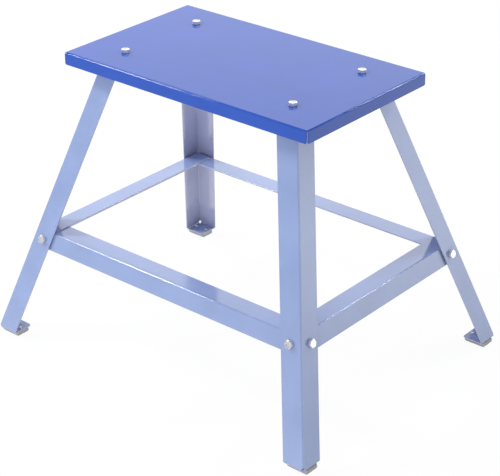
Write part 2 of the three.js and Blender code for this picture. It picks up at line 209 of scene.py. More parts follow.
class StandFasteners(bpy.types.PropertyGroup):
    """Sizes of the bolts, washers and nuts"""

    thread: length("Thread", "Outer diameter of the bolt thread", 8)
    pitch: length("Pitch", "Distance between turns of the thread", 1.25)
    tail: length("Tail", "Length of thread that shows past a nut", 3)
    hex_flats: length("Hex flats", "Width of heads and nuts across their flats", 13)
    head: length("Head", "Height of a bolt head", 5.3)
    head_step: length("Head step", "Height of the washer face under a bolt head", 0.8)
    head_dish: length("Head dish", "Depth of the dish in a bolt head", 0.25)
    nut: length("Nut", "Height of a nut", 6.5)
    nut_play: length("Nut play", "Gap between the thread and a nut", 0.1)
    nut_sink: length("Nut sink", "Depth of the countersinks in a nut", 0.6)
    washer: length("Washer", "Outer diameter of a washer", 16)
    washer_bore: length("Washer bore", "Inner diameter of a washer", 8.6)
    washer_sheet: length("Washer sheet", "Thickness of a washer", 1.6)
    washer_roll: length("Washer roll", "Rounding of the edges of a washer", 0.3)
    seat: length("Seat", "Gap that the frame keeps between touching faces", 0.2)


class StandFeet(bpy.types.PropertyGroup):
    """Sizes of the rubber feet and their rivets"""

    block_corner: length("Block corner", "Radius of the upright corners of a block", 2)
    block_edge: length("Block edge", "Rounding of the lower edge of a block", 1.2)
    block_swell: length("Block swell", "How far a block swells under the load", 0.25)
    rivet_shank: length("Rivet shank", "Diameter of a rivet's shank", 4)
    rivet_dome: length("Rivet dome", "Height of a rivet's head", 1.7)


class StandFinishes(bpy.types.PropertyGroup):
    """Colours and gloss of the finishes"""

    top_paint: colour("Top paint", "Royal blue stove enamel on the top", "#3054af")
    top_film: number("Top film", "Refractive index of the enamel on the top", 1.4)
    frame_paint: colour("Frame paint", "Pale blue stove enamel on legs and stretchers", "#8b9dc9")
    # Painted light: a paler, greyer blue put on the frame's inward faces, which lie in shade.
    inner_painted_light: colour("Inner painted light", "Paler blue, painted light on the inward faces of legs and stretchers", "#a5a9c6")
    frame_film: number("Frame film", "Refractive index of the enamel on the frame", 1.97)
    zinc: colour("Zinc", "Chalky zinc plate on the fasteners", "#f4f5f7")
    rubber: colour("Rubber", "Grey moulded rubber of the feet", "#b0adac")
    paper: colour("Paper", "White paper that the stand is photographed on", "#eeeeee")


class StandStage(bpy.types.PropertyGroup):
    """Camera, lamps and what gloss sees of the room"""

    azimuth: angle("Azimuth", "Direction that the camera looks from", 40.754)
    elevation: angle("Elevation", "Height of the camera above the horizon", 27.4225)
    roll: angle("Roll", "Tilt of the picture", -0.59)
    lens: number("Lens", "Focal length in millimetres, on a sensor 36 mm wide", 118.719)
    key: number("Key", "Watts of the small softbox at the front left", 25)
    rim: number("Rim", "Watts of the small softbox at the back right", 5.8)
    front: number("Front", "Watts of the lamp in front", 25)
    side: number("Side", "Watts of the lamp at the left", 31)
    back: number("Back", "Watts of the lamp behind", 16)
    sky: number("Sky", "Strength of the light from all round", 0.55)
    backdrop: number("Backdrop", "Brightness of the backdrop, seen in gloss", 1.01)
    backdrop_turn: number("Backdrop turn", "How much the backdrop darkens towards the front", 0.87)
    ground: number("Ground", "Brightness of the paper, seen in gloss", 1.0)
    ground_turn: number("Ground turn", "How much each metre of paper darkens to the front", 0.5)
    ground_reach: length("Ground reach", "How far back the paper goes on brightening", 1500)
    ceiling: number("Ceiling", "Brightness of the dark ceiling, seen in gloss", 0)
    ceiling_start: number("Ceiling start", "Sine of the angle where the backdrop ends", 0.49)
    ceiling_full: number("Ceiling full", "Sine of the angle where the ceiling is dark", 0.53)
    floor_size: length("Floor", "Width of the paper floor", 12000)
    floor_white: number("Floor white", "Share of plain white in the floor that shows", 0.94)


def fillet(before, corner, after, radius, steps):
    """Points along the arc that rounds a corner of a path."""
    back = (before - corner).normalized()
    ahead = (after - corner).normalized()
    half = back.angle(ahead) / 2
    reach = radius / math.tan(half)
    centre = corner + (back + ahead).normalized() * radius / math.sin(half)
    start = corner + back * reach - centre
    end = corner + ahead * reach - centre
    sweep = start.angle(end)
    points = []
    for i in range(steps + 1):
        turn = sweep * i / steps
        mixed = start * math.sin(sweep - turn) + end * math.sin(turn)
        points.append(centre + mixed / math.sin(sweep))
    return points


def outline(corners):
    """A closed outline through corners given as (u, v, radius)."""
    places = [Vector((u, v)) for u, v, _ in corners]
    points = []
    for i, (_, _, radius) in enumerate(corners):
        if radius == 0:
            points.append(places[i])
        else:
            after = places[(i + 1) % len(places)]
            points.extend(fillet(places[i - 1], places[i], after, radius, CORNER_STEPS))
    return points


def circle(centre, radius, sides):
    """Points round a circle."""
    u, v = centre
    turns = [2 * math.pi * i / sides for i in range(sides)]
    return [Vector((u + radius * math.cos(t), v + radius * math.sin(t))) for t in turns]


def panel(mesh, edge, holes, place):
    """Adds a flat panel with holes. place turns its own (u, v) into a point of the frame."""
    loops = [edge, *holes]
    points = [p for loop in loops for p in loop]
    edges = []
    first = 0
    for loop in loops:
        count = len(loop)
        edges.extend((first + i, first + (i + 1) % count) for i in range(count))
        first += count
    flat, _, faces, _, _, _ = delaunay_2d_cdt(points, edges, [], 3, FLAT_WELD)
    corners = [mesh.verts.new(place(p.x, p.y)) for p in flat]
    for face in faces:
        mesh.faces.new([corners[i] for i in face])


def strip(mesh, rows):
    """Adds quads between rows of points."""
    lines = [[mesh.verts.new(p) for p in row] for row in rows]
    for low, high in zip(lines, lines[1:]):
        for i in range(len(low) - 1):
            mesh.faces.new((low[i], low[i + 1], high[i + 1], high[i]))


def make_object(name, mesh, material, slot, *nodes):
    """Turns a mesh into a piece that stands for CAD nodes and rides on the stand."""
    data = bpy.data.meshes.new(name)
    mesh.to_mesh(data)
    mesh.free()
    data.materials.append(material)
    piece = bpy.data.objects.new(name, data)
    bpy.context.scene.collection.objects.link(piece)
    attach(piece, BODY)
    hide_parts(*nodes)
    return piece


def fold_sheet(name, mesh, inside, sheets, material, slot, node):
    """Turns the outer skin of a folded sheet into a solid. inside is a point within its folds."""
    bmesh.ops.remove_doubles(mesh, verts=mesh.verts, dist=WELD)
    bmesh.ops.recalc_face_normals(mesh, faces=mesh.faces)
    facing = 0
    for face in mesh.faces:
        facing += face.normal.dot(face.calc_center_median() - inside) * face.calc_area()
    if facing < 0:
        bmesh.ops.reverse_faces(mesh, faces=mesh.faces)
    for face in mesh.faces:
        face.smooth = True
    piece = make_object(name, mesh, material, slot, node)
    solid = piece.modifiers.new("sheet", "SOLIDIFY")
    solid.thickness = sheets.thickness
    solid.offset = -1
    solid.use_even_offset = True
    rounding = piece.modifiers.new("cut edges", "BEVEL")
    rounding.width = sheets.cut_edge
    rounding.segments = 2
    rounding.limit_method = "ANGLE"
    rounding.angle_limit = CUT_EDGE_ANGLE
    shading = piece.modifiers.new("shading", "WEIGHTED_NORMAL")
    shading.keep_sharp = True


def join_rings(mesh, rings, sides):
    """Adds faces between rings of points. A ring of one point is an end on the axis."""
    for low, high in zip(rings, rings[1:]):
        for i in range(sides):
            j = (i + 1) % sides
            near = [low[i % len(low)], low[j % len(low)]]
            far = [high[j % len(high)], high[i % len(high)]]
            mesh.faces.new(list(dict.fromkeys(near + far)))


def shade(piece, degrees):
    """Shades a piece smooth, with sharp edges where it turns by more than an angle."""
    for face in piece.data.polygons:
        face.use_smooth = True
    piece.data.set_sharp_from_angle(angle=math.radians(degrees))


def centre_of(node):
    """The middle of a node's box."""
    low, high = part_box(node)
    return (low + high) / 2


def joint_axis(kind, corner):
    """The outward axis of a bolted joint, square to its washer."""
    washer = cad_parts[f"{kind}_washer_{corner}"].data
    widest = max(washer.polygons, key=lambda face: face.area)
    axis = widest.normal.copy()
    away = centre_of(f"{kind}_washer_{corner}") - centre_of(f"{kind}_nut_{corner}")
    return axis if axis.dot(away) > 0 else -axis


def lean_at(kind, corner):
    """How far the sheets at a joint lean in for each unit of height."""
    axis = joint_axis(kind, corner)
    return axis.z / axis.xy.length


def add_node(tree, kind, inputs=None, **settings):
    """Adds a shader node. An input is a value or another node's output."""
    made = tree.nodes.new(kind)
    for name, value in settings.items():
        setattr(made, name, value)
    for name, value in (inputs or {}).items():
        if isinstance(value, bpy.types.NodeSocket):
            tree.links.new(value, made.inputs[name])
        else:
            made.inputs[name].default_value = value
    return made


def new_material(name):
    """An empty node material with its output."""
    material = bpy.data.materials.new(name)
    material.use_nodes = True
    material.node_tree.nodes.clear()
    output = add_node(material.node_tree, "ShaderNodeOutputMaterial")
    return material, material.node_tree, output.inputs["Surface"]


def per_metre(millimetres):
    """The noise scale whose features are about so many millimetres wide."""
    return 1 / (millimetres * MM)


def stove_enamel(name, paint, inner_painted_light, film):
    """Stove enamel, sprayed on sheet steel and baked: a wet gloss over a solid colour, with a faint
    orange peel and a film that varies a little in depth. Faces turned to the middle of the stand,
    which lie in shade, are painted a paler, greyer colour: painted light that lifts their shade."""
    found = bpy.data.materials.get(name)
    if found:
        return found
    material, tree, surface = new_material(name)
    place = add_node(tree, "ShaderNodeTexCoord").outputs["Object"]
    sag = add_node(
        tree,
        "ShaderNodeTexNoise",
        {"Vector": place, "Scale": per_metre(60), "Detail": 3},
    )
    depth = add_node(
        tree,
        "ShaderNodeMapRange",
        {"Value": sag.outputs["Fac"], **NOISE_RANGE, "To Min": 0.95, "To Max": 1.05},
    )
    # A face's distance from the stand's middle line, below zero where it looks inwards.
    skin = add_node(tree, "ShaderNodeNewGeometry").outputs
    level = add_node(
        tree,
        "ShaderNodeVectorMath",
        {0: skin["Position"], 1: (1, 1, 0)},
        operation="MULTIPLY",
    )
    outward = add_node(
        tree,
        "ShaderNodeVectorMath",
        {0: level.outputs["Vector"], 1: skin["Normal"]},
        operation="DOT_PRODUCT",
    )
    # Painted light: faces that look in at the middle, where shade falls, take the paler colour.
    painted_light_share = add_node(
        tree,
        "ShaderNodeMapRange",
        {
            "Value": outward.outputs["Value"],
            "From Min": -PAINTED_LIGHT_START,
            "From Max": -PAINTED_LIGHT_FULL,
        },
    )
    # The paint, turned paler and greyer on inward faces as painted light.
    coat = add_node(
        tree,
        "ShaderNodeMix",
        {"Factor": painted_light_share.outputs["Result"], 6: (*paint, 1), 7: (*inner_painted_light, 1)},
        data_type="RGBA",
    )
    tinted = add_node(
        tree,
        "ShaderNodeHueSaturation",
        {"Color": coat.outputs[2], "Value": depth.outputs["Result"]},
    )
    peel = add_node(
        tree,
        "ShaderNodeTexNoise",
        {"Vector": place, "Scale": per_metre(3), "Detail": 1},
    )
    ripple = add_node(
        tree,
        "ShaderNodeBump",
        {"Height": peel.outputs["Fac"], "Strength": 0.25, "Distance": 0.01 * MM},
    )
    gloss = add_node(
        tree,
        "ShaderNodeMapRange",
        {"Value": sag.outputs["Fac"], **NOISE_RANGE, "To Min": 0.08, "To Max": 0.14},
    )
    shader = add_node(
        tree,
        "ShaderNodeBsdfPrincipled",
        {
            "Base Color": tinted.outputs["Color"],
            "Roughness": gloss.outputs["Result"],
            "IOR": film,
            "Normal": ripple.outputs["Normal"],
        },
    )
    tree.links.new(shader.outputs["BSDF"], surface)
    return material


def zinc_plate(name, plate):
    """Zinc plate on forged steel, tumbled in a barrel: a pale, chalky metal with fine scuffs, which
    are drawn coarser than real ones so that they show."""
    found = bpy.data.materials.get(name)
    if found:
        return found
    material, tree, surface = new_material(name)
    place = add_node(tree, "ShaderNodeTexCoord").outputs["Object"]
    cloud = add_node(
        tree,
        "ShaderNodeTexNoise",
        {"Vector": place, "Scale": per_metre(2.5), "Detail": 4},
    )
    gloss = add_node(
        tree,
        "ShaderNodeMapRange",
        {"Value": cloud.outputs["Fac"], **NOISE_RANGE, "To Min": 0.2, "To Max": 0.3},
    )
    tone = add_node(
        tree,
        "ShaderNodeMapRange",
        {"Value": cloud.outputs["Fac"], **NOISE_RANGE, "To Min": 0.9, "To Max": 1.04},
    )
    tinted = add_node(
        tree,
        "ShaderNodeHueSaturation",
        {"Color": (*plate, 1), "Value": tone.outputs["Result"]},
    )
    scuffs = add_node(
        tree,
        "ShaderNodeTexNoise",
        {"Vector": place, "Scale": per_metre(0.5), "Detail": 3},
    )
    skin = add_node(
        tree,
        "ShaderNodeBump",
        {"Height": scuffs.outputs["Fac"], "Strength": 0.3, "Distance": 0.01 * MM},
    )
    # The chalk keeps it from being all metal.
    shader = add_node(
        tree,
        "ShaderNodeBsdfPrincipled",
        {
            "Base Color": tinted.outputs["Color"],
            "Metallic": 0.7,
            "Roughness": gloss.outputs["Result"],
            "Normal": skin.outputs["Normal"],
        },
    )
    tree.links.new(shader.outputs["BSDF"], surface)
    return material


def moulded_rubber(name, grey):
    """Grey rubber from an etched mould: matt, with a dusty bloom and a fine grain, which is drawn
    coarser than the real one so that it shows."""
    found = bpy.data.materials.get(name)
    if found:
        return found
    material, tree, surface = new_material(name)
    place = add_node(tree, "ShaderNodeTexCoord").outputs["Object"]
    grain = add_node(
        tree,
        "ShaderNodeTexNoise",
        {"Vector": place, "Scale": per_metre(0.8), "Detail": 4},
    )
    bloom = add_node(
        tree,
        "ShaderNodeTexNoise",
        {"Vector": place, "Scale": per_metre(12), "Detail": 3},
    )
    tone = add_node(
        tree,
        "ShaderNodeMapRange",
        {"Value": bloom.outputs["Fac"], **NOISE_RANGE, "To Min": 0.88, "To Max": 1.1},
    )
    tinted = add_node(
        tree,
        "ShaderNodeHueSaturation",
        {"Color": (*grey, 1), "Value": tone.outputs["Result"]},
    )
    skin = add_node(
        tree,
        "ShaderNodeBump",
        {"Height": grain.outputs["Fac"], "Strength": 0.5, "Distance": 0.1 * MM},
    )
    shader = add_node(
        tree,
        "ShaderNodeBsdfPrincipled",
        {
            "Base Color": tinted.outputs["Color"],
            "Roughness": 0.75,
            "IOR": 1.5,
            "Normal": skin.outputs["Normal"],
        },
    )
    tree.links.new(shader.outputs["BSDF"], surface)
    return material


class STAND_OT_fold_top(bpy.types.Operator):
    """Fold the top: a plate with four lips, open at the corners"""

    bl_idname = "stand.fold_top"
    bl_label = "Fold the Top"

    def execute(self, context):
        sheets = context.scene.stand_sheets
        finishes = context.scene.stand_finishes
        low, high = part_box("top_plate")
        half = (high - low) / 2
        edge_x = half.x - sheets.top_bend
        edge_y = half.y - sheets.top_bend
        plate = [Vector((side[0] * edge_x, side[1] * edge_y)) for side in CORNERS.values()]
        bolts = [centre_of(f"top_washer_{corner}") for corner in CORNERS]
        holes = [circle(bolt.xy, sheets.bolt_hole / 2, HOLE_SIDES) for bolt in bolts]
        mesh = bmesh.new()
        panel(mesh, plate, holes, lambda u, v: Vector((u, v, high.z)))
        lips = (
            (-Y, X, half.y, edge_x),
            (Y, X, half.y, edge_x),
            (X, Y, half.x, edge_y),
            (-X, Y, half.x, edge_y),
        )
        for outward, along, reach, edge in lips:
            self.fold_lip(mesh, sheets, outward, along, reach, edge, low.z, high.z)
        # The top's inward faces keep its own paint, so the top gets no painted light.
        paint = stove_enamel(
            "stove_enamel_royal_blue", finishes.top_paint, finishes.top_paint, finishes.top_film
        )
        inside = Vector((0, 0, low.z))
        fold_sheet("folded_top", mesh, inside, sheets, paint, "blue_paint", "top_plate")
        return {"FINISHED"}

    def fold_lip(self, mesh, sheets, outward, along, reach, edge, bottom, top):
        """Adds one fold of the top and the lip below it."""
        bend = sheets.top_bend
        rows = []
        for i in range(BEND_STEPS + 1):
            share = i / BEND_STEPS
            turn = share * math.pi / 2
            out = reach - bend + bend * math.sin(turn)
            up = top - bend + bend * math.cos(turn)
            middle = outward * out + Z * up
            end = along * (edge + (bend - sheets.lip_gap) * share)
            rows.append([middle - end, middle + end])
        strip(mesh, rows)
        end = edge + bend - sheets.lip_gap
        lip = outline(
            [
                (-end, top - bend, 0),
                (-end, bottom, sheets.lip_corner),
                (end, bottom, sheets.lip_corner),
                (end, top - bend, 0),
            ]
        )
        panel(mesh, lip, [], lambda u, v: outward * reach + along * u + Z * v)


class STAND_OT_fold_legs(bpy.types.Operator):
    """Fold the legs: angles with a tab turned in at each end"""

    bl_idname = "stand.fold_legs"
    bl_label = "Fold the Legs"

    def execute(self, context):
        sheets = context.scene.stand_sheets
        finishes = context.scene.stand_finishes
        paint = stove_enamel(
            "stove_enamel_pale_blue", finishes.frame_paint, finishes.inner_painted_light, finishes.frame_film
        )
        for corner, side in CORNERS.items():
            self.fold_leg(corner, side, sheets, paint)
        return {"FINISHED"}

    def fold_leg(self, corner, side, sheets, paint):
        """Makes one leg. In its own axes, u and v run in from its outer corner and w runs up."""
        node = f"leg_{corner}"
        low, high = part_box(node)
        height = high.z - low.z
        lean_x = lean_at("short", corner)
        lean_y = lean_at("long", corner)
        foot = Vector((sheets.long_face + lean_x * height, sheets.short_face + lean_y * height))
        foot += Vector((min(abs(low.x), abs(high.x)), min(abs(low.y), abs(high.y))))
        wide = sheets.long_face
        tab = sheets.short_face
        bend = sheets.leg_bend
        relief = sheets.relief

        def place(inward_x, inward_y, w):
            """The frame's point so far in from the foot's corner and so high."""
            return Vector(
                (side[0] * (foot.x - inward_x), side[1] * (foot.y - inward_y), low.z + w)
            )

        def inset(point):
            """How far a point lies in from the outer corner at its own height, and that height."""
            w = point.z - low.z
            return foot.x - abs(point.x) - lean_x * w, foot.y - abs(point.y) - lean_y * w, w

        def hole(fastener, size, along, across):
            """A hole in line with a washer or rivet."""
            middle = inset(centre_of(fastener))
            return circle((middle[along], middle[across]), size / 2, HOLE_SIDES)

        def cut(u, v, from_turn):
            """The rounded relief at a corner of a panel, as points from one edge to the next."""
            turns = [from_turn - math.pi / 2 * i / CORNER_STEPS for i in range(CORNER_STEPS + 1)]
            return [Vector((u + relief * math.cos(t), v + relief * math.sin(t))) for t in turns]

        # Folds of the long face into its two tabs, seen from the side.
        lean = lean_y * height
        path = [Vector(p) for p in ((tab, 0), (0, 0), (lean, height), (lean + tab, height))]
        foot_fold = fillet(*path[:3], bend, BEND_STEPS)
        top_fold = fillet(*path[1:], bend, BEND_STEPS)
        start = foot_fold[-1].y
        stop = top_fold[0].y
        mesh = bmesh.new()

        long_edge = [
            *cut(bend, start, math.pi / 2),
            Vector((wide, start)),
            Vector((wide, stop)),
            *cut(bend, stop, 0),
        ]
        long_bolt = hole(f"long_washer_{corner}", sheets.bolt_hole, 0, 2)
        panel(mesh, long_edge, [long_bolt], lambda u, w: place(u + lean_x * w, lean_y * w, w))

        short_edge = [
            Vector((bend, sheets.face_stop)),
            Vector((tab, sheets.face_stop)),
            Vector((tab, height - sheets.face_stop)),
            Vector((bend, height - sheets.face_stop)),
            Vector((bend, stop - relief)),
            Vector((bend, start + relief)),
        ]
        short_bolt = hole(f"short_washer_{corner}", sheets.bolt_hole, 1, 2)
        panel(mesh, short_edge, [short_bolt], lambda v, w: place(lean_x * w, v + lean_y * w, w))

        # The fold down the leg's outer corner.
        ends = (start + relief, stop - relief)
        turn = [Vector(p) for p in ((0, tab), (0, 0), (wide, 0))]
        rows = []
        for plan in fillet(*turn, bend, BEND_STEPS):
            rows.append([place(plan.x + lean_x * w, plan.y + lean_y * w, w) for w in ends])
        strip(mesh, rows)

        # Tabs and the folds that turn them in.
        rivets = [f"foot_rivet_{end}_{corner}" for end in RIVETS]
        rivet_holes = [hole(rivet, sheets.rivet_hole, 0, 1) for rivet in rivets]
        bolt_holes = [hole(f"top_washer_{corner}", sheets.bolt_hole, 0, 1)]
        tabs = ((foot_fold[::-1], 0, rivet_holes), (top_fold, height, bolt_holes))
        for fold, level, holes in tabs:
            rows = []
            for p in fold:
                rows.append([place(u + lean_x * p.y, p.x, p.y) for u in (bend + relief, wide)])
            strip(mesh, rows)
            shift_x = lean_x * level
            shift_y = lean_y * level
            near = fold[-1].x - shift_y
            edge = [
                *cut(bend, near, math.pi / 2)[::-1],
                *outline([(bend, tab, 0), (wide, tab, sheets.tab_corner), (wide, near, 0)]),
            ]
            panel(mesh, edge, holes, lambda u, v: place(u + shift_x, v + shift_y, level))

        middle = height / 2
        inside = place(wide / 2 + lean_x * middle, tab / 2 + lean_y * middle, middle)
        fold_sheet(f"folded_leg_{corner}", mesh, inside, sheets, paint, "pale_blue_paint", node)


class STAND_OT_fold_stretchers(bpy.types.Operator):
    """Fold the stretchers: angles with a level shelf, bolted inside the legs"""

    bl_idname = "stand.fold_stretchers"
    bl_label = "Fold the Stretchers"

    def execute(self, context):
        sheets = context.scene.stand_sheets
        finishes = context.scene.stand_finishes
        paint = stove_enamel(
            "stove_enamel_pale_blue", finishes.frame_paint, finishes.inner_painted_light, finishes.frame_film
        )
        for name, (outward, kind) in STRETCHERS.items():
            self.fold_stretcher(name, outward, kind, sheets, paint)
        return {"FINISHED"}

    def fold_stretcher(self, name, outward, kind, sheets, paint):
        """Makes one stretcher. s runs along it, d runs in from its lower edge and z is up."""
        node = f"stretcher_{name}"
        low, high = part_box(node)
        along = Z.cross(outward)
        size = high - low
        half = abs(size.dot(along)) / 2
        depth = abs(size.dot(outward))
        outer = max(low.dot(outward), high.dot(outward))
        ends = [corner for corner, side in CORNERS.items() if Vector((*side, 0)).dot(outward) > 0]
        slope = lean_at(kind, ends[0])
        corner = sheets.shelf_corner

        def place(s, d, z):
            """The frame's point so far along, so far in and so high."""
            return along * s + outward * (outer - d) + Z * z

        path = [Vector((0, low.z)), Vector((slope * size.z, high.z)), Vector((depth, high.z))]
        fold = fillet(*path, sheets.stretcher_bend, BEND_STEPS)
        mesh = bmesh.new()
        strip(mesh, [[place(s, p.x, p.y) for s in (-half, half)] for p in fold])

        web_top = fold[0].y
        web = outline(
            [
                (-half, low.z, corner),
                (half, low.z, corner),
                (half, web_top, 0),
                (-half, web_top, 0),
            ]
        )
        bolts = [centre_of(f"{kind}_washer_{end}") for end in ends]
        places = [(bolt.dot(along), bolt.z) for bolt in bolts]
        holes = [circle(middle, sheets.bolt_hole / 2, HOLE_SIDES) for middle in places]
        panel(mesh, web, holes, lambda s, z: place(s, slope * (z - low.z), z))

        shelf_start = fold[-1].x
        shelf = outline(
            [
                (-half, shelf_start, 0),
                (half, shelf_start, 0),
                (half, depth, corner),
                (-half, depth, corner),
            ]
        )
        panel(mesh, shelf, [], lambda s, d: place(s, d, high.z))
        inside = place(0, depth, low.z)
        piece_name = f"folded_stretcher_{name}"
        fold_sheet(piece_name, mesh, inside, sheets, paint, "pale_blue_paint", node)


class STAND_OT_bolt_joints(bpy.types.Operator):
    """Bolt the joints: hex bolts, washers and nuts with cut threads"""

    bl_idname = "stand.bolt_joints"
    bl_label = "Bolt the Joints"

    def execute(self, context):
        sizes = context.scene.stand_fasteners
        zinc = zinc_plate("chalky_zinc_plate", context.scene.stand_finishes.zinc)
        for kind, along in JOINTS.items():
            for corner in CORNERS:
                axis = joint_axis(kind, corner)
                across = axis.cross(along)
                turn = Matrix((along, across, axis)).transposed().to_4x4()
                washer = centre_of(f"{kind}_washer_{corner}")
                self.bolt_joint(kind, corner, Matrix.Translation(washer) @ turn, sizes, zinc)
        return {"FINISHED"}

    def bolt_joint(self, kind, corner, place, sizes, zinc):
        """Makes one bolt, washer and nut. The washer's middle is at the joint's origin."""
        head_seat = self.head_seat(kind, corner, place, sizes)
        nut_seat = -sizes.washer_sheet / 2 - sizes.seat
        nut_end = nut_seat - sizes.nut
        makers = {
            "bolt": lambda mesh: self.add_bolt(mesh, head_seat, nut_end, sizes),
            "washer": lambda mesh: self.add_washer(mesh, sizes),
            "nut": lambda mesh: self.add_nut(mesh, nut_seat, sizes),
        }
        names = {"bolt": "hex_bolt", "washer": "flat_washer", "nut": "hex_nut"}
        for part, maker in makers.items():
            mesh = bmesh.new()
            maker(mesh)
            mesh.transform(place)
            bmesh.ops.recalc_face_normals(mesh, faces=mesh.faces)
            node = f"{kind}_{part}_{corner}"
            piece = make_object(f"{names[part]}_{kind}_{corner}", mesh, zinc, "zinc_plate", node)
            shade(piece, 25)

    def head_seat(self, kind, corner, place, sizes):
        """How far the seat of the bolt's head lies above the middle of the washer."""
        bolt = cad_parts[f"{kind}_bolt_{corner}"].data
        back = place.inverted()
        return max((back @ v.co).z for v in bolt.vertices) - sizes.head

    def hex_ring(self, mesh, flats, height_at):
        """Points round a hexagon with a corner on X, each at the height that its radius gives."""
        ring = []
        for i in range(ROUND_SIDES):
            turn = 2 * math.pi * i / ROUND_SIDES
            off_flat = (turn % (math.pi / 3)) - math.pi / 6
            radius = flats / 2 / math.cos(off_flat)
            point = (radius * math.cos(turn), radius * math.sin(turn), height_at(radius))
            ring.append(mesh.verts.new(point))
        return ring

    def round_ring(self, mesh, radius, height):
        """Points round a circle at one height."""
        return [mesh.verts.new((*p, height)) for p in circle((0, 0), radius, ROUND_SIDES)]

    def add_bolt(self, mesh, seat, nut_end, sizes):
        """A forged head with a washer face and a turned chamfer, a shank and a cut thread."""
        flats = sizes.hex_flats
        crown = flats / 2 * HEAD_CROWN
        face = flats / 2 * HEAD_FACE
        step = seat + sizes.head_step
        top = seat + sizes.head
        dish = top - sizes.head_dish
        rings = [
            [mesh.verts.new((0, 0, dish))],
            self.round_ring(mesh, crown * DISH_FLOOR, dish),
            self.round_ring(mesh, crown * DISH_RIM, top),
            self.round_ring(mesh, crown, top),
            self.hex_ring(mesh, flats, lambda r: top - (r - crown) * HEX_SLANT),
            self.hex_ring(mesh, flats, lambda r: step),
            self.round_ring(mesh, face, step),
            self.round_ring(mesh, face, seat),
            self.round_ring(mesh, sizes.thread / 2, seat),
        ]
        rings.extend(self.thread_rings(mesh, nut_end, sizes))
        join_rings(mesh, rings, ROUND_SIDES)

    def thread_rings(self, mesh, nut_end, sizes):
        """Rings down the shank, with a helical thread past the nut and a chamfered point."""
        radius = sizes.thread / 2
        depth = THREAD_DEPTH * sizes.pitch
        tip = nut_end - sizes.tail
        point = tip + depth
        start = nut_end + sizes.pitch
        count = round((start - point) / sizes.pitch * THREAD_STEPS)
        rings = [self.round_ring(mesh, radius, start)]
        for row in range(count + 1):
            height = start - (start - point) * row / count
            ring = []
            for p in circle((0, 0), 1, ROUND_SIDES):
                turn = math.atan2(p.y, p.x) / (2 * math.pi)
                phase = (height / sizes.pitch - turn) % 1
                groove = depth * (1 - abs(2 * phase - 1)) if row else 0
                ring.append(mesh.verts.new((*(p * (radius - groove)), height)))
            rings.append(ring)
        rings.append(self.round_ring(mesh, radius - depth, tip))
        rings.append([mesh.verts.new((0, 0, tip))])
        return rings

    def add_washer(self, mesh, sizes):
        """A punched washer with rolled edges."""
        outer = sizes.washer / 2
        bore = sizes.washer_bore / 2
        half = sizes.washer_sheet / 2
        roll = sizes.washer_roll
        profile = [
            (bore, half - roll),
            (bore + roll, half),
            (outer - roll, half),
            (outer, half - roll),
            (outer, -half + roll),
            (outer - roll, -half),
            (bore + roll, -half),
            (bore, -half + roll),
        ]
        rings = [self.round_ring(mesh, radius, height) for radius, height in profile]
        join_rings(mesh, [*rings, rings[0]], ROUND_SIDES)

    def add_nut(self, mesh, seat, sizes):
        """A nut chamfered on both sides, with a countersunk bore."""
        flats = sizes.hex_flats
        crown = flats / 2 * NUT_CROWN
        bore = sizes.thread / 2 + sizes.nut_play
        sink = sizes.nut_sink
        end = seat - sizes.nut
        rings = [
            self.round_ring(mesh, bore, seat - sink),
            self.round_ring(mesh, bore + sink, seat),
            self.round_ring(mesh, crown, seat),
            self.hex_ring(mesh, flats, lambda r: seat - (r - crown) * HEX_SLANT),
            self.hex_ring(mesh, flats, lambda r: end + (r - crown) * HEX_SLANT),
            self.round_ring(mesh, crown, end),
            self.round_ring(mesh, bore + sink, end),
            self.round_ring(mesh, bore, end + sink),
        ]
        join_rings(mesh, [*rings, rings[0]], ROUND_SIDES)


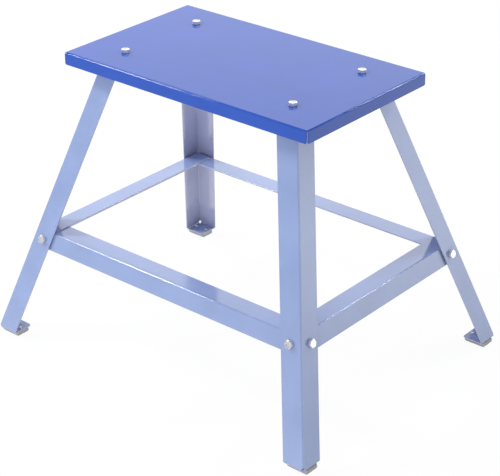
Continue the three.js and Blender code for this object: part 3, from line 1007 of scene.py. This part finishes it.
class STAND_OT_fit_feet(bpy.types.Operator):
    """Fit the feet: rubber blocks held by dome-head rivets"""

    bl_idname = "stand.fit_feet"
    bl_label = "Fit the Feet"

    def execute(self, context):
        sizes = context.scene.stand_feet
        finishes = context.scene.stand_finishes
        rubber = moulded_rubber("moulded_grey_rubber", finishes.rubber)
        zinc = zinc_plate("chalky_zinc_plate", finishes.zinc)
        for corner in CORNERS:
            self.fit_block(corner, sizes, rubber)
            for end in RIVETS:
                self.fit_rivet(f"{end}_{corner}", sizes, zinc)
        return {"FINISHED"}

    def fit_block(self, corner, sizes, rubber):
        """A block with soft edges whose sides swell a little under the load."""
        node = f"foot_pad_{corner}"
        low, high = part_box(node)
        half = (high - low) / 2
        middle = (low + high) / 2
        edge = sizes.block_edge
        swell = sizes.block_swell
        radius = sizes.block_corner
        # Heights from the block's middle, and how far its sides stop inside its box there.
        rows = (
            (-half.z, edge),
            (-half.z + edge, swell * 2),
            (-half.z / 2, swell / 2),
            (0, 0),
            (half.z / 2, swell / 2),
            (half.z - edge / 2, swell * 2),
            (half.z, edge / 2),
        )
        mesh = bmesh.new()
        rings = []
        for height, trim in rows:
            u = half.x - trim
            v = half.y - trim
            plan = outline([(-u, -v, radius), (u, -v, radius), (u, v, radius), (-u, v, radius)])
            rings.append([mesh.verts.new(middle + Vector((*p, height))) for p in plan])
        join_rings(mesh, rings, len(rings[0]))
        mesh.faces.new(rings[0])
        mesh.faces.new(rings[-1])
        bmesh.ops.recalc_face_normals(mesh, faces=mesh.faces)
        piece = make_object(f"rubber_foot_{corner}", mesh, rubber, "grey_rubber", node)
        shade(piece, 50)

    def fit_rivet(self, spot, sizes, zinc):
        """A dome head on a shank that goes down through the tab into the rubber."""
        node = f"foot_rivet_{spot}"
        low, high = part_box(node)
        middle = (low + high) / 2
        radius = (high.x - low.x) / 2
        shank = sizes.rivet_shank / 2
        dome = sizes.rivet_dome
        seat = high.z - dome
        profile = [(shank, low.z), (shank, seat), (radius, seat)]
        for i in range(1, DOME_STEPS):
            turn = math.pi / 2 * i / DOME_STEPS
            profile.append((radius * math.cos(turn), seat + dome * math.sin(turn)))
        mesh = bmesh.new()
        rings = [[mesh.verts.new((*middle.xy, low.z))]]
        for ring_radius, height in profile:
            plan = circle(middle.xy, ring_radius, HOLE_SIDES)
            rings.append([mesh.verts.new((*p, height)) for p in plan])
        rings.append([mesh.verts.new((*middle.xy, high.z))])
        join_rings(mesh, rings, HOLE_SIDES)
        bmesh.ops.recalc_face_normals(mesh, faces=mesh.faces)
        piece = make_object(f"dome_rivet_{spot}", mesh, zinc, "zinc_plate", node)
        shade(piece, 40)


class STAND_OT_set_stage(bpy.types.Operator):
    """Set the stage: white paper, soft lamps and the camera"""

    bl_idname = "stand.set_stage"
    bl_label = "Set the Stage"

    def execute(self, context):
        stage = context.scene.stand_stage
        context.scene.view_settings.view_transform = "Standard"
        self.lay_paper(context, stage)
        for name, (place, size, mirrored) in LAMPS.items():
            self.hang_lamp(context, f"{name}_lamp", place, size, getattr(stage, name), mirrored)
        self.light_room(context, stage)
        self.place_camera(context, stage)
        return {"FINISHED"}

    def lay_paper(self, context, stage):
        """A white paper floor that the camera sees as white, with the stand's shadow kept. Gloss
        sees it lit from behind."""
        half = stage.floor_size / 2
        data = bpy.data.meshes.new("paper_floor")
        corners = [(u * half, v * half, -FLOOR_GAP) for u, v in CORNERS.values()]
        data.from_pydata(corners, [], [(0, 1, 2, 3)])
        paper, tree, surface = new_material("white_paper")
        path = add_node(tree, "ShaderNodeLightPath")
        place = add_node(tree, "ShaderNodeTexCoord").outputs["Object"]
        sheet = (*context.scene.stand_finishes.paper, 1)
        lit = add_node(tree, "ShaderNodeBsdfDiffuse", {"Color": sheet})
        glow = self.lit_from_behind(
            tree, place, stage.ground, stage.ground_turn, stage.ground_reach
        )
        mirrored = add_node(tree, "ShaderNodeEmission", {"Strength": glow})
        white = add_node(tree, "ShaderNodeEmission", {"Strength": 1})
        seen = add_node(
            tree,
            "ShaderNodeMath",
            {0: path.outputs["Is Glossy Ray"], 1: path.outputs["Is Transmission Ray"]},
            operation="MAXIMUM",
        )
        gloss = add_node(
            tree,
            "ShaderNodeMixShader",
            {"Fac": seen.outputs[0], 1: lit.outputs[0], 2: mirrored.outputs[0]},
        )
        share = add_node(
            tree,
            "ShaderNodeMath",
            {0: path.outputs["Is Camera Ray"], 1: stage.floor_white},
            operation="MULTIPLY",
        )
        mix = add_node(
            tree,
            "ShaderNodeMixShader",
            {"Fac": share.outputs[0], 1: gloss.outputs[0], 2: white.outputs[0]},
        )
        tree.links.new(mix.outputs[0], surface)
        data.materials.append(paper)
        floor = bpy.data.objects.new("paper_floor", data)
        context.scene.collection.objects.link(floor)

    def lit_from_behind(self, tree, place, middle, change, reach):
        """A brightness that grows from one unit in front of the middle to a reach behind it."""
        along = add_node(
            tree,
            "ShaderNodeVectorMath",
            {0: place, 1: BACK_OF_ROOM},
            operation="DOT_PRODUCT",
        )
        level = add_node(
            tree,
            "ShaderNodeMapRange",
            {
                "Value": along.outputs["Value"],
                "From Min": -1,
                "From Max": reach,
                "To Min": middle - change,
                "To Max": middle + change * reach,
            },
        )
        return level.outputs["Result"]

    def light_room(self, context, stage):
        """An even sky, white to the camera. Gloss sees a backdrop lit from behind, and above it a
        dark ceiling."""
        world = bpy.data.worlds.new("white_room")
        world.use_nodes = True
        tree = world.node_tree
        tree.nodes.clear()
        output = add_node(tree, "ShaderNodeOutputWorld")
        path = add_node(tree, "ShaderNodeLightPath")
        direction = add_node(tree, "ShaderNodeTexCoord").outputs["Generated"]
        backdrop = self.lit_from_behind(tree, direction, stage.backdrop, stage.backdrop_turn, 1)
        height = add_node(tree, "ShaderNodeSeparateXYZ", {"Vector": direction})
        room = add_node(
            tree,
            "ShaderNodeMapRange",
            {
                "Value": height.outputs["Z"],
                "From Min": stage.ceiling_start,
                "From Max": stage.ceiling_full,
                "To Min": backdrop,
                "To Max": stage.ceiling,
            },
        )
        seen = add_node(
            tree,
            "ShaderNodeMath",
            {0: path.outputs["Is Glossy Ray"], 1: path.outputs["Is Transmission Ray"]},
            operation="MAXIMUM",
        )
        mirrored = add_node(
            tree,
            "ShaderNodeMapRange",
            {"Value": seen.outputs[0], "To Min": stage.sky, "To Max": room.outputs["Result"]},
        )
        strength = add_node(
            tree,
            "ShaderNodeMapRange",
            {
                "Value": path.outputs["Is Camera Ray"],
                "To Min": mirrored.outputs["Result"],
                "To Max": 1,
            },
        )
        light = add_node(
            tree,
            "ShaderNodeBackground",
            {"Color": (1, 1, 1, 1), "Strength": strength.outputs["Result"]},
        )
        tree.links.new(light.outputs[0], output.inputs["Surface"])
        context.scene.world = world

    def hang_lamp(self, context, name, place, size, watts, mirrored):
        """A square softbox aimed at the middle of the stand. Gloss mirrors it or not."""
        lamp = bpy.data.lights.new(name, "AREA")
        lamp.energy = watts
        lamp.size = size
        hung = bpy.data.objects.new(name, lamp)
        hung.location = place
        hung.visible_glossy = mirrored
        aim = (CAD_BOX[0] + CAD_BOX[1]) / 2 - Vector(place)
        hung.rotation_euler = aim.to_track_quat("-Z", "Y").to_euler()
        context.scene.collection.objects.link(hung)

    def place_camera(self, context, stage):
        """The camera at the photograph's place."""
        data = bpy.data.cameras.new("camera")
        data.sensor_width = SENSOR_WIDTH
        data.lens = stage.lens
        camera = bpy.data.objects.new("camera", data)
        turn = Matrix.Rotation(stage.azimuth, 3, "Z")
        turn = turn @ Matrix.Rotation(math.pi / 2 - stage.elevation, 3, "X")
        turn = turn @ Matrix.Rotation(stage.roll, 3, "Z")
        camera.matrix_world = Matrix.LocRotScale(CAMERA_PLACE, turn, None)
        context.scene.collection.objects.link(camera)
        context.scene.camera = camera


class VIEW3D_PT_stand(bpy.types.Panel):
    """Sizes, finishes and steps of the stand"""

    bl_label = "Bench Grinder Stand"
    bl_space_type = "VIEW_3D"
    bl_region_type = "UI"
    bl_category = "Stand"

    def draw(self, context):
        for group, owner in SETTINGS.items():
            box = self.layout.box()
            settings = getattr(context.scene, group)
            for name in owner.__annotations__:
                box.prop(settings, name)
        for step in STEPS:
            self.layout.operator(step.bl_idname)


SETTINGS = {
    "stand_sheets": StandSheets,
    "stand_fasteners": StandFasteners,
    "stand_feet": StandFeet,
    "stand_finishes": StandFinishes,
    "stand_stage": StandStage,
}
STEPS = (
    STAND_OT_fold_top,
    STAND_OT_fold_legs,
    STAND_OT_fold_stretchers,
    STAND_OT_bolt_joints,
    STAND_OT_fit_feet,
    STAND_OT_set_stage,
)


def register():
    for item in (*SETTINGS.values(), *STEPS, VIEW3D_PT_stand):
        bpy.utils.register_class(item)
    for group, owner in SETTINGS.items():
        setattr(bpy.types.Scene, group, bpy.props.PointerProperty(type=owner))


def unregister():
    for group in SETTINGS:
        delattr(bpy.types.Scene, group)
    for item in reversed((*SETTINGS.values(), *STEPS, VIEW3D_PT_stand)):
        bpy.utils.unregister_class(item)


def main():
    register()
    bpy.ops.stand.fold_top()
    bpy.ops.stand.fold_legs()
    bpy.ops.stand.fold_stretchers()
    bpy.ops.stand.bolt_joints()
    bpy.ops.stand.fit_feet()
    bpy.ops.stand.set_stage()


if __name__ == "__main__":
    main()
